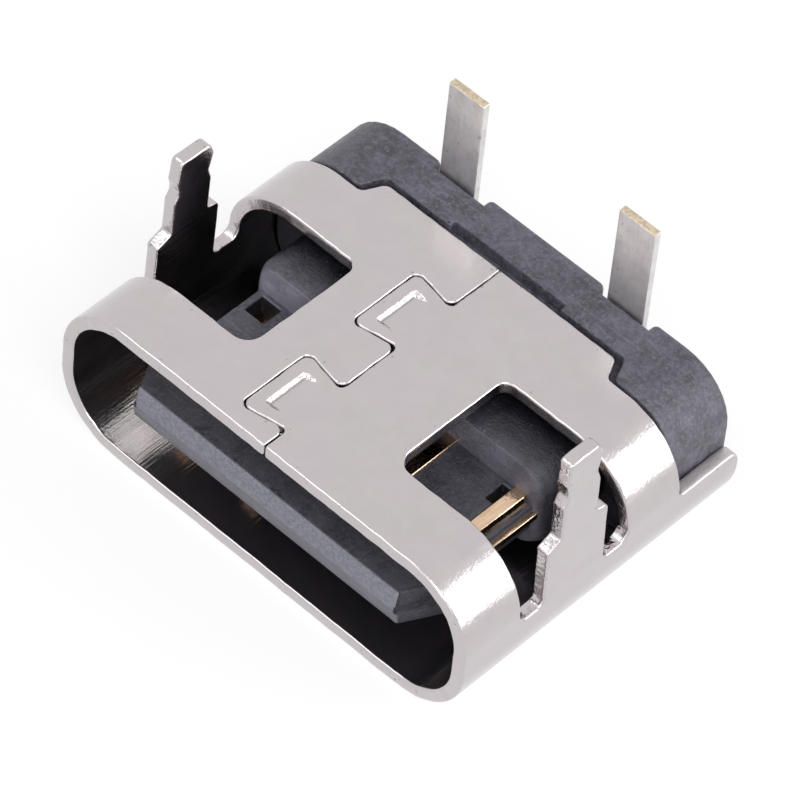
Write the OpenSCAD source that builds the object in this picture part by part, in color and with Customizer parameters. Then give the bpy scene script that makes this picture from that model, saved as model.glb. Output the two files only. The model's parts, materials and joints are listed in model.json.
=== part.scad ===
// USB-C power socket with two solder legs. It lies with its closed face down and its board face
// up, its mouth towards -Y, and the origin under its middle, on the closed face.
// Distances along Y in the values below are measured from the mouth.

/* [Shell] */
// Width over the side walls
shell_w = 8.84; // [8.6:0.02:9.4]
// Height from the closed face to the board face
shell_h = 3.06; // [2.96:0.02:3.4]
// Depth from the mouth to the rear end of the closed face
shell_d = 6.4; // [6.3:0.1:7.5]
// Thickness of the sheet
sheet_t = 0.25; // [0.2:0.01:0.3]
// Outside radius of the four long bends
bend_r = 1.3; // [1.1:0.05:1.4]
// Depth of the board face at its middle
face_d = 5.36; // [5.2:0.02:5.6]
// Depth of the board face at its flanks and round the bends
flank_d = 4.95; // [4.8:0.05:5.1]
// Width of the middle part of the board face's rear edge
face_mid_w = 5; // [4.4:0.1:5.6]
// Drop from the bend's start to the top of the side walls' rear wings
wing_drop = 0.11; // [0.05:0.01:0.3]
// Radius of the inner corner where a wing starts
wing_r = 0.13; // [0.05:0.01:0.2]

/* [Seam] */
// Gap along the seam where the two ends of the sheet meet
kerf = 0.035; // [0.02:0.005:0.06]
// Length of a dovetail at its tip
lock_tip = 1.54; // [1.4:0.02:1.7]
// Length of a dovetail at its root
lock_root = 1.2; // [1:0.02:1.3]
// Reach of a dovetail across the centre line
lock_reach = 0.87; // [0.7:0.01:1]
// Distance from the mouth to the first dovetail's middle
lock_y = 1.11; // [1:0.01:1.2]
// Distance between the middles of the two dovetails
lock_pitch = 2.49; // [2.3:0.01:2.6]
// Radius of the seam's corners
lock_r = 0.14; // [0.08:0.01:0.16]
// Length of the stake mark on each dovetail
stake_l = 0.88; // [0.6:0.02:1]
// Width of the stake mark
stake_w = 0.42; // [0.3:0.02:0.5]
// Distance from the dovetail's tip to its stake mark
stake_in = 0.23; // [0.16:0.01:0.3]
// Depth of the stake mark along its deep edge
stake_dip = 0.09; // [0.05:0.01:0.14]

/* [Windows and board tabs] */
// Distance from the centre line to a window
window_x = 1.62; // [1.3:0.02:1.8]
// Distance from the mouth to the windows
window_y = 1.28; // [1.1:0.02:1.4]
// Length of a window
window_l = 2.47; // [2.3:0.01:2.7]
// Radius of the window's front inner corner
window_front_r = 0.32; // [0.1:0.02:0.4]
// Radius of the window's rear inner corner
window_rear_r = 0.2; // [0.1:0.02:0.4]
// Drop from the bend's start to the bottom of the slots beside a tab
slot_drop = 0.14; // [0.1:0.01:0.3]
// Radius of the slots' lower corners
slot_r = 0.12; // [0.06:0.01:0.2]
// Width of the slot in front of a tab
slot_w = 0.52; // [0.4:0.02:0.6]
// Width of a tab at its root
tab_w = 1.38; // [1.2:0.02:1.5]
// Reach of a tab above the board face
tab_reach = 1.54; // [1.2:0.02:2]
// Height of a tab's shoulders above the board face, negative when below it
shoulder_z = -0.12; // [-0.3:0.02:0]
// Width of a tab's front shoulder
shoulder_front = 0.3; // [0.2:0.01:0.4]
// Width of a tab's rear shoulder
shoulder_rear = 0.26; // [0.2:0.01:0.35]
// Depth of the waist under a tab's barbs
waist = 0.08; // [0.04:0.01:0.12]
// Distance from a tab's tip down to the middle of its waist
waist_drop = 0.72; // [0.6:0.02:0.9]
// Height of the barbs' slopes above and below the waist
barb_h = 0.24; // [0.18:0.01:0.3]
// Radius of a tab's stamped corners
tab_r = 0.07; // [0.03:0.01:0.09]
// Radius of the rear corner of a tab's tip
tip_r = 0.15; // [0.06:0.01:0.16]
// Lean of a tab's tip towards the middle
tab_lean = 0.1; // [0:0.02:0.2]

/* [Housing] */
// Depth from the mouth to the housing's rear face
housing_d = 6.38; // [6.2:0.02:7.4]
// Clearance between the housing and the sheet round it
fit_gap = 0.02; // [0.01:0.01:0.04]
// Gap between the middle of the board face's rear edge and the housing
rear_gap = 0.1; // [0.07:0.01:0.15]
// Gap between that edge's flanks and the housing
flank_gap = 0.05; // [0.02:0.01:0.08]
// Radius of the housing's rear upper edge
edge_r = 0.1; // [0.04:0.01:0.15]
// Width of the recess in the housing behind that edge
recess_w = 2.42; // [2:0.02:3]
// Depth of the recess
recess_dip = 0.13; // [0.08:0.01:0.16]
// Distance from the mouth to the plug of the housing that fills the shell
seat_y = 4.6; // [4.4:0.05:4.8]
// Distance from the mouth to the step at the tongue's root
step_y = 3.04; // [2.9:0.02:3.2]
// Width of the step
step_w = 6.4; // [6.3:0.02:6.8]
// Height of the step
step_h = 1.84; // [1.5:0.02:2]
// Distance from the mouth to the tongue's tip
tongue_y = 0.1; // [0.05:0.01:0.3]
// Width of the tongue's head
tongue_w = 6.5; // [6.4:0.02:6.7]
// Thickness of the tongue
tongue_t = 0.7; // [0.66:0.01:0.74]
// Width of the tongue behind its head, where the latches bite
latch_w = 6; // [5.9:0.02:6.06]
// Width of the tongue's tip between its corner chamfers
nose_w = 5.8; // [5.4:0.02:5.9]
// Length of the corner chamfers
nose_l = 0.7; // [0.5:0.02:0.75]
// Slope of the tip's upper half along Y
nose_slope = 0.07; // [0.02:0.01:0.1]
// Distance from the mouth to the rear end of the tongue's head
head_y = 1.35; // [1.3:0.01:1.45]
// Drop from the tongue's face to the ledges outside the ground contacts
ledge_drop = 0.14; // [0.08:0.01:0.2]
// Depth of the groove round the tongue's head
groove_in = 0.15; // [0.08:0.01:0.16]
// Height of the groove
groove_h = 0.14; // [0.1:0.01:0.2]
// Side of the square holes that the moulding pins leave
pin_hole = 0.42; // [0.3:0.02:0.46]
// Distance from the middle of a ground contact to the middle of its pin hole
pin_in = 0.1; // [0.05:0.01:0.12]
// Distance from a pin hole to the step
pin_gap = 0.07; // [0.04:0.01:0.12]

/* [Terminals] */
// Thickness of the terminals' strip
strip_t = 0.15; // [0.12:0.01:0.2]
// Distance from the centre line to the power contacts
power_x = 1.25; // [1.2:0.01:1.3]
// Distance from the centre line to the ground contacts
ground_x = 2.75; // [2.72:0.01:2.78]
// Width of a contact
contact_w = 0.25; // [0.2:0.01:0.26]
// Height by which a contact stands proud of the tongue
contact_proud = 0.04; // [0.02:0.01:0.06]
// Distance from the mouth to a contact's nose
contact_y = 1.15; // [1.05:0.01:1.3]
// Width of the ground strip over its two outer edges
ground_w = 6.18; // [6.12:0.01:6.2]
// Distance from the mouth to the ground strip's front bar
bar_y = 0.72; // [0.66:0.01:0.8]
// Width of the strips' inner bars
bar_w = 0.3; // [0.2:0.01:0.34]
// Length of a contact's dipped nose
dip_l = 0.12; // [0.08:0.01:0.2]
// Depth of that dip
dip_h = 0.08; // [0.04:0.01:0.1]
// Distance between the middles of the two legs
leg_pitch = 3.68; // [3.6:0.02:3.8]
// Shift of both legs to the right of the centre line
leg_shift = 0.05; // [0:0.01:0.1]
// Width of a leg
leg_w = 0.76; // [0.7:0.01:0.8]
// Reach of a leg above the board face
leg_reach = 2.02; // [1.5:0.02:3]
// Inside radius of a leg's bend
leg_bend = 0.06; // [0.04:0.01:0.07]
// Clearance in front of a leg
leg_gap = 0.08; // [0.08:0.01:0.12]
// Clearance at each side of a leg
leg_side_gap = 0.15; // [0.12:0.01:0.2]
// Shift of the left leg's slot towards the middle
slot_shift = 0.09; // [0:0.01:0.1]
// Depth of the legs' slots below their strip
slot_floor = 0.18; // [0.1:0.01:0.25]

/* [Hidden] */
over = 1;
inner_w = shell_w - 2 * sheet_t;
inner_h = shell_h - 2 * sheet_t;
bend_z = shell_h - bend_r;
wing_z = bend_z - wing_drop;
slot_z = bend_z - slot_drop;
tab_y = window_y + slot_w;
mid_z = shell_h / 2;
body_w = inner_w - 2 * fit_gap;
left_leg_x = leg_shift - leg_pitch / 2;
right_leg_x = leg_shift + leg_pitch / 2;
contact_in = ground_x - contact_w / 2;
contact_out = ground_x + contact_w / 2;
leg_front = housing_d - strip_t;
leg_wall = leg_front - leg_gap;
contact_rise = tongue_t / 2 + contact_proud - strip_t / 2;
root_y = step_y + contact_rise + strip_t / 2;
cross_y = root_y + 1.5 * bar_w;

// Points of the arc of radius r that rounds corner b of the path a, b, c
function arc(a, b, c, r, n = 6) =
    let (u = (a - b) / norm(a - b), v = (c - b) / norm(c - b), half = acos(u * v) / 2)
    r <= 0 || half > 89 ? [b] :
    let (mid = b + (u + v) / norm(u + v) * r / sin(half),
         p = b + u * r / tan(half) - mid,
         turn = u.x * v.y - u.y * v.x > 0 ? 2 * half - 180 : 180 - 2 * half)
    [for (i = [0:n]) let (t = turn * i / n)
        mid + [p.x * cos(t) - p.y * sin(t), p.x * sin(t) + p.y * cos(t)]];

// Closed outline through points [x, y, radius], each corner rounded by its radius
function rounded(points) =
    let (n = len(points), flat = [for (p = points) [p.x, p.y]])
    [for (i = [0:n - 1]) each arc(flat[(i + n - 1) % n], flat[i], flat[(i + 1) % n], points[i].z)];

// Outline and its mirror image across the first axis, from one end on the axis to the other
function both_sides(points) =
    concat(points, [for (i = [len(points) - 1:-1:0]) [-points[i].x, points[i].y, points[i].z]]);

// Path beside an open path of points [x, y, radius], at distance d to its left
function beside(path, d) =
    let (n = len(path), flat = [for (p = path) [p.x, p.y]],
         way = [for (i = [0:n - 2]) (flat[i + 1] - flat[i]) / norm(flat[i + 1] - flat[i])])
    [for (i = [0:n - 1])
        let (u = way[max(i - 1, 0)], v = way[min(i, n - 2)],
             shift = ([-u.y, u.x] + [-v.y, v.x]) * d / (1 + u * v),
             turn = sign(u.x * v.y - u.y * v.x))
        [flat[i].x + shift.x, flat[i].y + shift.y, path[i].z - turn * d]];

// Open path with its inner corners rounded
function eased(path) =
    let (n = len(path), flat = [for (p = path) [p.x, p.y]])
    [for (i = [0:n - 1])
        each (i == 0 || i == n - 1 ? [flat[i]] : arc(flat[i - 1], flat[i], flat[i + 1], path[i].z))];

function backwards(list) = [for (i = [len(list) - 1:-1:0]) list[i]];

// Moves the mouth from y = 0 to its place, so that the socket's middle is over the origin
module placed() translate([0, -shell_d / 2, 0]) children();

// A drawing in X and Y raised from z0 to z1
module raised(z0, z1) translate([0, 0, z0]) linear_extrude(z1 - z0) children();

// A drawing in X and Z stretched along Y from y0 to y1
module along(y0, y1) translate([0, y1, 0]) rotate([90, 0, 0]) linear_extrude(y1 - y0) children();

// A drawing in Y and Z stretched across X from x0 to x1
module across(x0, x1) translate([x0, 0, 0]) rotate([90, 0, 90]) linear_extrude(x1 - x0) children();

// The children turned half way round the tongue's own axis
module turned_over() translate([0, 0, mid_z]) rotate([0, 180, 0]) translate([0, 0, -mid_z]) children();

// Rounded rectangle that stands on the X axis
module contour(w, h, r) {
    translate([-w / 2, r]) square([w, h - 2 * r]);
    translate([r - w / 2, 0]) square([w - 2 * r, h]);
    for (x = [r - w / 2, w / 2 - r], z = [r, h - r]) translate([x, z]) circle(r, $fn = 96);
}

// The plain tube that the sheet is wrapped into
module tube() difference() {
    along(0, shell_d) contour(shell_w, shell_h, bend_r);
    translate([0, 0, sheet_t]) along(-over, shell_d + over) contour(inner_w, inner_h, bend_r - sheet_t);
}

// What is cut from one side for the window and the two slots beside its tab
module window_cut() intersection() {
    raised(0, shell_h + over) polygon(rounded([
        [shell_w / 2 + over, window_y, 0], [window_x, window_y, window_front_r],
        [window_x, window_y + window_l, window_rear_r], [shell_w / 2 + over, window_y + window_l, 0]]));
    across(window_x - over, shell_w / 2 + over) polygon(rounded([
        [window_y, shell_h + over, 0], [window_y, slot_z, slot_r],
        [tab_y, slot_z, slot_r], [tab_y, bend_z, 0],
        [tab_y + tab_w, bend_z, 0], [tab_y + tab_w, slot_z, slot_r],
        [window_y + window_l, slot_z, slot_r], [window_y + window_l, shell_h + over, 0]]));
}

// Barbed tab that stands on from the side wall past the board face, leaning in a little
module tab() {
    front = tab_y + shoulder_front;
    rear = tab_y + tab_w - shoulder_rear;
    tip_z = shell_h + tab_reach;
    step_z = shell_h + shoulder_z;
    waist_z = tip_z - waist_drop;
    intersection() {
        across(inner_w / 2 - over, shell_w / 2 + over) polygon(rounded([
            [tab_y, slot_z, 0], [tab_y, step_z - barb_h / 2, tab_r],
            [front, step_z, tab_r], [front, waist_z - barb_h, tab_r],
            [front + waist, waist_z - barb_h / 4, tab_r], [front + waist, waist_z + barb_h / 4, tab_r],
            [front + waist / 3, waist_z + barb_h, tab_r], [front + waist, tip_z, tab_r],
            [rear - waist, tip_z, tip_r], [rear, tip_z - barb_h, tab_r],
            [rear - waist, waist_z + barb_h / 2, tab_r], [rear, waist_z - barb_h / 2, tab_r],
            [rear, step_z + tab_r, tab_r / 2], [tab_y + tab_w, step_z, 2 * tab_r],
            [tab_y + tab_w, slot_z, 0]]));
        along(window_y, window_y + window_l) polygon([
            [inner_w / 2, slot_z], [shell_w / 2, slot_z], [shell_w / 2, bend_z],
            [shell_w / 2 - tab_lean, tip_z + fit_gap], [inner_w / 2 - tab_lean, tip_z + fit_gap],
            [inner_w / 2, bend_z]]);
    }
}

// Rear edge of the board face, or of what lies behind it past these gaps: the middle part
// reaches further back than the flanks
function rear_edge(gap, side_gap) = [
    [face_mid_w / 2 + gap, face_d + gap, lock_r],
    [face_mid_w / 2 + gap + sheet_t * 0.8, flank_d + side_gap, lock_r]];

// What is cut from the rear of the board face and of the side walls above their wings
module rear_cut() intersection() {
    raised(wing_z - over, shell_h + over) polygon(rounded(both_sides(concat(
        rear_edge(0, 0), [[shell_w, flank_d, 0], [shell_w, shell_d + over, 0]]))));
    across(-shell_w, shell_w) polygon(rounded([
        [flank_d - over, shell_h + over, 0], [flank_d - over, wing_z + over, 0],
        [flank_d, wing_z + over, 0], [flank_d, wing_z, wing_r], [shell_d, wing_z, 2 * wing_r],
        [shell_d, wing_z - over, 0], [shell_d + over, wing_z - over, 0],
        [shell_d + over, shell_h + over, 0]]));
}

// Seam along the board face, with the two dovetails of the right end in the left one
function seam_path() = concat(
    [[0, -over, 0]],
    [for (y = [lock_y, lock_y + lock_pitch]) each [
        [0, y - lock_root / 2, lock_r], [-lock_reach, y - lock_tip / 2, lock_r],
        [-lock_reach, y + lock_tip / 2, lock_r], [0, y + lock_root / 2, lock_r]]],
    [[0, shell_d, 0]]);

module seam() raised(shell_h - 1.5 * sheet_t, shell_h + over) polygon(concat(
    eased(beside(seam_path(), kerf / 2)), backwards(eased(beside(seam_path(), -kerf / 2)))));

// Mark of the punch that spreads a dovetail, deepest along its edge near the tip
module stake(y)
    translate([stake_in - lock_reach, y - stake_l / 2, shell_h - stake_dip])
        rotate([0, -atan(stake_dip / stake_w), 0]) cube([stake_w, stake_l, over]);

// One bent sheet: open at the mouth and the rear, closed by the dovetailed seam
module shell() color("Silver") placed() difference() {
    union() {
        difference() {
            tube();
            rear_cut();
            for (side = [0, 1]) mirror([side, 0, 0]) window_cut();
        }
        for (side = [0, 1]) mirror([side, 0, 0]) tab();
    }
    seam();
    for (y = [lock_y, lock_y + lock_pitch]) stake(y);
}

// Part of the housing behind the board face: as high as the shell, and as wide as its inside
module rear_block() intersection() {
    along(flank_d, housing_d) contour(body_w, shell_h, bend_r - sheet_t);
    raised(mid_z, shell_h) polygon(rounded(both_sides(concat(
        [[recess_w / 2, face_d + rear_gap + recess_dip, fit_gap],
         [recess_w / 2, face_d + rear_gap, fit_gap]],
        rear_edge(rear_gap, flank_gap),
        [[shell_w / 2, flank_d + flank_gap, 0], [shell_w / 2, housing_d, 0]]))));
    across(-shell_w, shell_w) polygon(rounded([
        [flank_d, mid_z, 0], [housing_d, mid_z, 0], [housing_d, shell_h, edge_r],
        [flank_d, shell_h, 0]]));
}

// Part of the housing that fills the shell, standing on the closed face
module seat() translate([0, 0, sheet_t]) along(seat_y, housing_d)
    contour(body_w, inner_h - fit_gap, bend_r - sheet_t - fit_gap);

// Step at the tongue's root, rounded at its front corners and drafted a little
module step() intersection() {
    translate([0, 0, mid_z - step_h / 2]) along(step_y, seat_y) contour(step_w, step_h, 0.45);
    raised(0, shell_h) polygon(rounded(both_sides([
        [step_w / 2, step_y, 0.3], [step_w / 2, seat_y, 0]])));
    across(-shell_w, shell_w) polygon([
        [step_y, mid_z - tongue_t / 2], [step_y + 0.08, mid_z - step_h / 2],
        [seat_y, mid_z - step_h / 2], [seat_y, mid_z + step_h / 2],
        [step_y + 0.08, mid_z + step_h / 2], [step_y, mid_z + tongue_t / 2]]);
}

// One layer of the tongue between heights z0 and z1, its head narrowed by inset at each side
module tongue_layer(z0, z1, inset) raised(mid_z + z0, mid_z + z1) polygon(rounded(both_sides([
    [nose_w / 2 - inset, tongue_y, 0.08], [tongue_w / 2 - inset, tongue_y + nose_l, 0.08],
    [tongue_w / 2 - inset, head_y, 0.04],
    [latch_w / 2, head_y + (tongue_w - latch_w) / 2 - inset, 0.04],
    [latch_w / 2, seat_y, 0]])));

// What is cut from a face of the tongue for the ledge outside its ground contact
module ledge() translate([contact_out, head_y, mid_z + tongue_t / 2 - ledge_drop])
    cube([tongue_w, step_y - head_y, tongue_t]);

// Tongue in three layers, for the groove round its head, with a blunt chamfer along its tip
module tongue() difference() {
    groove_z = -groove_h * 0.7;
    intersection() {
        union() {
            tongue_layer(-tongue_t / 2, groove_z, 0);
            tongue_layer(groove_z, groove_z + groove_h, groove_in);
            tongue_layer(groove_z + groove_h, tongue_t / 2, groove_in / 2);
        }
        across(-shell_w, shell_w) polygon([
            [tongue_y + nose_slope / 2, mid_z - tongue_t / 2], [tongue_y, mid_z - tongue_t / 4],
            [tongue_y, mid_z], [tongue_y + nose_slope, mid_z + tongue_t / 2],
            [seat_y, mid_z + tongue_t / 2], [seat_y, mid_z - tongue_t / 2]]);
    }
    ledge();
    turned_over() ledge();
}

// Slot at the rear that a leg comes out through, open to the top and the rear
module leg_slot(x) {
    half = leg_w / 2 + leg_side_gap;
    translate([x, 0, 0]) raised(mid_z - strip_t / 2 - slot_floor, shell_h + over)
        polygon(rounded(both_sides([
            [half, leg_wall, 0], [half, housing_d, edge_r],
            [half + 2 * edge_r, housing_d, 0], [half + 2 * edge_r, housing_d + over, 0]])));
}

// Square hole through the tongue, left by the pins that hold the strips in the mould
module pin_holes() for (side = [0, 1]) mirror([side, 0, 0])
    translate([ground_x - pin_in - pin_hole / 2, step_y - pin_gap - pin_hole, mid_z - tongue_t])
        cube([pin_hole, pin_hole, 2 * tongue_t]);

// One moulding round both strips: rear block, seat, step and tongue
module housing() color("DimGray") placed() difference() {
    union() {
        rear_block();
        seat();
        step();
        tongue();
    }
    leg_slot(left_leg_x + slot_shift);
    leg_slot(right_leg_x);
    pin_holes();
    power_strip();
    ground_strip();
}

// Leg that leaves the housing level, bends up in its slot and passes through the board
module leg(x) {
    low = mid_z - strip_t / 2;
    high = mid_z + strip_t / 2;
    tip_z = shell_h + leg_reach;
    across(x - leg_w / 2, x + leg_w / 2) polygon(rounded([
        [leg_wall, low, 0], [housing_d, low, leg_bend + strip_t], [housing_d, tip_z, 0],
        [leg_front, tip_z, 0], [leg_front, high, leg_bend], [leg_wall, high, 0]]));
}

// Contact that rises from the strip's middle level to the tongue's face and dips at its nose
module finger(x) {
    line = [[root_y, mid_z], [root_y - contact_rise, mid_z + contact_rise],
            [contact_y + dip_l, mid_z + contact_rise], [contact_y, mid_z + contact_rise - dip_h]];
    half = [0, strip_t / 2];
    across(x - contact_w / 2, x + contact_w / 2)
        polygon(concat([for (p = line) p + half], [for (p = backwards(line)) p - half]));
}

// Flat part of a strip at the tongue's middle level
module blank(outline) raised(mid_z - strip_t / 2, mid_z + strip_t / 2) polygon(rounded(outline));

// Power strip: a cross bar in the step with one contact up and one down, and the left leg
module power_strip() {
    end = power_x + contact_w / 2;
    blank([
        [left_leg_x - leg_w / 2, root_y, 0], [end, root_y, 0], [end, cross_y, tab_r],
        [left_leg_x + leg_w / 2, cross_y, tab_r], [left_leg_x + leg_w / 2, leg_wall, 0],
        [left_leg_x - leg_w / 2, leg_wall, 0]]);
    finger(power_x);
    turned_over() finger(power_x);
    leg(left_leg_x);
}

// Arm of the ground strip: the contact is its raised inner edge, and its outer edge lies bare
module arm() {
    half = strip_t / 2;
    flare = strip_t / 2;
    along(contact_y, root_y) polygon([for (p = [
        [contact_in, contact_rise + half], [contact_out, contact_rise + half],
        [contact_out + flare, half], [ground_w / 2, half], [ground_w / 2, -half],
        [contact_out, -half], [contact_out - flare, contact_rise - half],
        [contact_in, contact_rise - half]]) [p.x, p.y + mid_z]]);
    blank([
        [0, bar_y, 0], [ground_w / 2, bar_y, bar_w / 2], [ground_w / 2, contact_y, 0],
        [contact_in, contact_y, 0], [contact_in, bar_y + bar_w, tab_r], [0, bar_y + bar_w, 0]]);
}

// Ground strip: a frame round the tongue's front with one contact up and one down, and the
// right leg
module ground_strip() {
    arm();
    turned_over() arm();
    blank([
        [right_leg_x - leg_w / 2, leg_wall, 0], [right_leg_x - leg_w / 2, root_y + 2 * bar_w, tab_r],
        [contact_in, root_y + 2 * bar_w, tab_r], [contact_in, root_y, 0],
        [ground_w / 2, root_y, 0], [ground_w / 2, root_y + 4 * bar_w, bar_w / 2],
        [right_leg_x + leg_w / 2, root_y + 4 * bar_w, tab_r], [right_leg_x + leg_w / 2, leg_wall, 0]]);
    leg(right_leg_x);
}

module power_terminal() color("DarkGoldenrod") placed() power_strip();
module ground_terminal() color("Goldenrod") placed() ground_strip();

shell();
housing();
power_terminal();
ground_terminal();
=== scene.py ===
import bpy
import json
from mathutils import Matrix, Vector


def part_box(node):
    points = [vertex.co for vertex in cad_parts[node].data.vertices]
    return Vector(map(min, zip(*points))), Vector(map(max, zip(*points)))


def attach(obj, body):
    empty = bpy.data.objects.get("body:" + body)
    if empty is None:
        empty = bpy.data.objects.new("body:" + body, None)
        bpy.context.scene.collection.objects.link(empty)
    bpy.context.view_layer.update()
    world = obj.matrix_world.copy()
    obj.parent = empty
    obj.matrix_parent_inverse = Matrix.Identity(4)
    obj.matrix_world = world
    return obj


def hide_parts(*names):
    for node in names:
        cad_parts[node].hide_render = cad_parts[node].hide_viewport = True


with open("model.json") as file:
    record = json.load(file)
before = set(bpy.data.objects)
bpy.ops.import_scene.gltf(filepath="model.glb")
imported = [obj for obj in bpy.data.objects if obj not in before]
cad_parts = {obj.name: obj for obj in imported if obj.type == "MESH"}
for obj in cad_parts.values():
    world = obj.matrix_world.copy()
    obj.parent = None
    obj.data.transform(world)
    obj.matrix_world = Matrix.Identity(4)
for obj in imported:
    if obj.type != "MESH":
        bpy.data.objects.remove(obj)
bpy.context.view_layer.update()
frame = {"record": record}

import json
import math

import bpy
import numpy as np
from mathutils import Matrix, Vector
from mathutils.geometry import delaunay_2d_cdt

# ---- Camera -----------------------------------------------------------------------------------
# It looks down on the board face from the mouth's right-hand corner, through a long lens, so that
# the socket's parallel edges stay nearly parallel.
MM = 0.001
AIM = Vector((0, 0.3, 1.6)) * MM
TURN, RISE, ROLL = math.radians(39.105), math.radians(49.611), math.radians(6.2)
DISTANCE = 101.6 * MM
SIDESTEP = Vector((-0.212, -0.162, 0)) * MM
LENS = 287.2

camera_data = bpy.data.cameras.new("camera")
camera_data.lens = LENS
camera_data.clip_start = 1 * MM
camera_data.clip_end = 10
camera = bpy.data.objects.new("camera", camera_data)
bpy.context.scene.collection.objects.link(camera)
tilt = (Matrix.Rotation(TURN, 4, "Z") @ Matrix.Rotation(math.pi / 2 - RISE, 4, "X")
        @ Matrix.Rotation(ROLL, 4, "Z"))
camera.matrix_world = (Matrix.Translation(AIM) @ tilt
                       @ Matrix.Translation(SIDESTEP + Vector((0, 0, DISTANCE))))
bpy.context.scene.camera = camera
bpy.context.scene.view_settings.view_transform = "Standard"

# ---- Floor, room and lamps --------------------------------------------------------------------
# A white table, which fades into the room's white 40 mm away. Of four soft square lamps, one runs
# along the right bend from behind, one lights the tops from the left, one shines from the right
# into the left window, and a weak one fills the front.
WHITE = (1, 1, 1, 1)
ROOM_LIGHT = 0.28
FLOOR_HALF = 300 * MM
FLOOR_MATT, FLOOR_GLOW, FLOOR_BOUNCE = 0.27, 0.78, 0.8
SHADE_NEAR, SHADE_FAR = 10 * MM, 40 * MM


def emptied(owner):
    """Node tree of a material or world, without its nodes."""
    owner.use_nodes = True
    owner.node_tree.nodes.clear()
    return owner.node_tree


def node(tree, kind, links=None, **settings):
    """New node: settings are its properties, links maps input names or numbers to a value or to
    another node's output."""
    made = tree.nodes.new("ShaderNode" + kind)
    for name, value in settings.items():
        setattr(made, name, value)
    for key, value in (links or {}).items():
        if isinstance(value, bpy.types.NodeSocket):
            tree.links.new(value, made.inputs[key])
        else:
            made.inputs[key].default_value = value
    return made


def worked(tree, operation, *values, **settings):
    """Result of one arithmetic operation on the values."""
    return node(tree, "Math", dict(enumerate(values)), operation=operation, **settings).outputs[0]


def spread(tree, value, low_end, high_end, to_low=0.0, to_high=1.0):
    """Value taken from the range low_end to high_end to the range to_low to to_high, clamped."""
    made = node(tree, "MapRange", {"Value": value, "From Min": low_end, "From Max": high_end,
                                   "To Min": to_low, "To Max": to_high})
    return made.outputs["Result"]


def shown(tree):
    """1 for rays that show the room itself: from the camera, off a gloss or through a clear part."""
    path = node(tree, "LightPath").outputs
    share = worked(tree, "ADD", path["Is Camera Ray"], path["Is Glossy Ray"])
    return worked(tree, "ADD", share, path["Is Transmission Ray"], use_clamp=True)


def blended(tree, share, first, second):
    """Shader between two, by share."""
    return node(tree, "MixShader", {0: share, 1: first, 2: second}).outputs[0]


room = bpy.data.worlds.new("room")
bpy.context.scene.world = room
tree = emptied(room)
soft = node(tree, "Background", {"Color": WHITE, "Strength": ROOM_LIGHT}).outputs[0]
white = node(tree, "Background", {"Color": WHITE, "Strength": 1.0}).outputs[0]
node(tree, "OutputWorld", {"Surface": blended(tree, shown(tree), soft, white)})

floor_mesh = bpy.data.meshes.new("floor")
corners = [(-FLOOR_HALF, -FLOOR_HALF, 0), (FLOOR_HALF, -FLOOR_HALF, 0),
           (FLOOR_HALF, FLOOR_HALF, 0), (-FLOOR_HALF, FLOOR_HALF, 0)]
floor_mesh.from_pydata(corners, [], [(0, 1, 2, 3)])
floor = bpy.data.objects.new("floor", floor_mesh)
bpy.context.scene.collection.objects.link(floor)
table = bpy.data.materials.new("white_table")
tree = emptied(table)
matt = node(tree, "BsdfDiffuse", {"Color": (FLOOR_MATT, FLOOR_MATT, FLOOR_MATT, 1)}).outputs[0]
glow = node(tree, "Emission", {"Color": WHITE, "Strength": FLOOR_GLOW}).outputs[0]
near_by = node(tree, "AddShader", {0: matt, 1: glow}).outputs[0]
far_off = node(tree, "Emission", {"Color": WHITE, "Strength": 1.0}).outputs[0]
away = node(tree, "VectorMath", {0: node(tree, "TexCoord").outputs["Object"]}, operation="LENGTH")
seen = blended(tree, spread(tree, away.outputs["Value"], SHADE_NEAR, SHADE_FAR), near_by, far_off)
bounce = (FLOOR_BOUNCE, FLOOR_BOUNCE, FLOOR_BOUNCE, 1)
unseen = node(tree, "BsdfDiffuse", {"Color": bounce}).outputs[0]
node(tree, "OutputMaterial", {"Surface": blended(tree, shown(tree), unseen, seen)})
floor_mesh.materials.append(table)


def lamp(name, way, distance, size, radiance):
    """Square lamp that faces the socket from the direction way, with the given radiance."""
    data = bpy.data.lights.new(name, "AREA")
    data.size = size
    data.energy = radiance * math.pi * size * size
    made = bpy.data.objects.new(name, data)
    bpy.context.scene.collection.objects.link(made)
    way = Vector(way).normalized()
    aimed = way.to_track_quat("Z", "Y").to_matrix().to_4x4()
    made.matrix_world = Matrix.Translation(AIM + way * distance) @ aimed


lamp("rear_lamp", (0.72, 0.55, 0.36), 200 * MM, 155 * MM, 3)
lamp("top_lamp", (-0.4, -0.4, 0.82), 250 * MM, 110 * MM, 2)
lamp("window_lamp", (0.6, -0.45, 0.9), 250 * MM, 150 * MM, 4)
lamp("front_lamp", (0.2, -0.95, 0.4), 220 * MM, 240 * MM, 0.6)

# ---- Shell ------------------------------------------------------------------------------------
# One stamped sheet of nickel-plated steel, rolled into a flat tube and locked along the board face
# by two dovetails, each spread by a punch mark. Windows, slots and barbed tabs are cut in the flat.
low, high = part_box("shell")
board_face = next(m for m in frame["record"]["mounts"] if m["name"] == "board_face")
MOUTH_Y = low.y / MM
DEEP = (high.y - low.y) / MM
WIDE = (high.x - low.x) / MM
TALL = board_face["pos_m"][2] / MM
SHEET = 0.25
BEND = 1.3
FACE_DEEP, FLANK_DEEP, FACE_MID = 5.36, 4.95, 5.0
WING_Z = TALL - BEND - 0.11
KERF = 0.01
LOCK_TIP, LOCK_ROOT, LOCK_REACH = 1.54, 1.2, 0.87
LOCKS = (1.11, 3.6)
STAKE_X, STAKE_L, STAKE_W, STAKE_DIP = -0.64, 0.92, 0.44, 0.085
STAKE_WALL, STAKE_END = 0.05, 0.08
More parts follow.
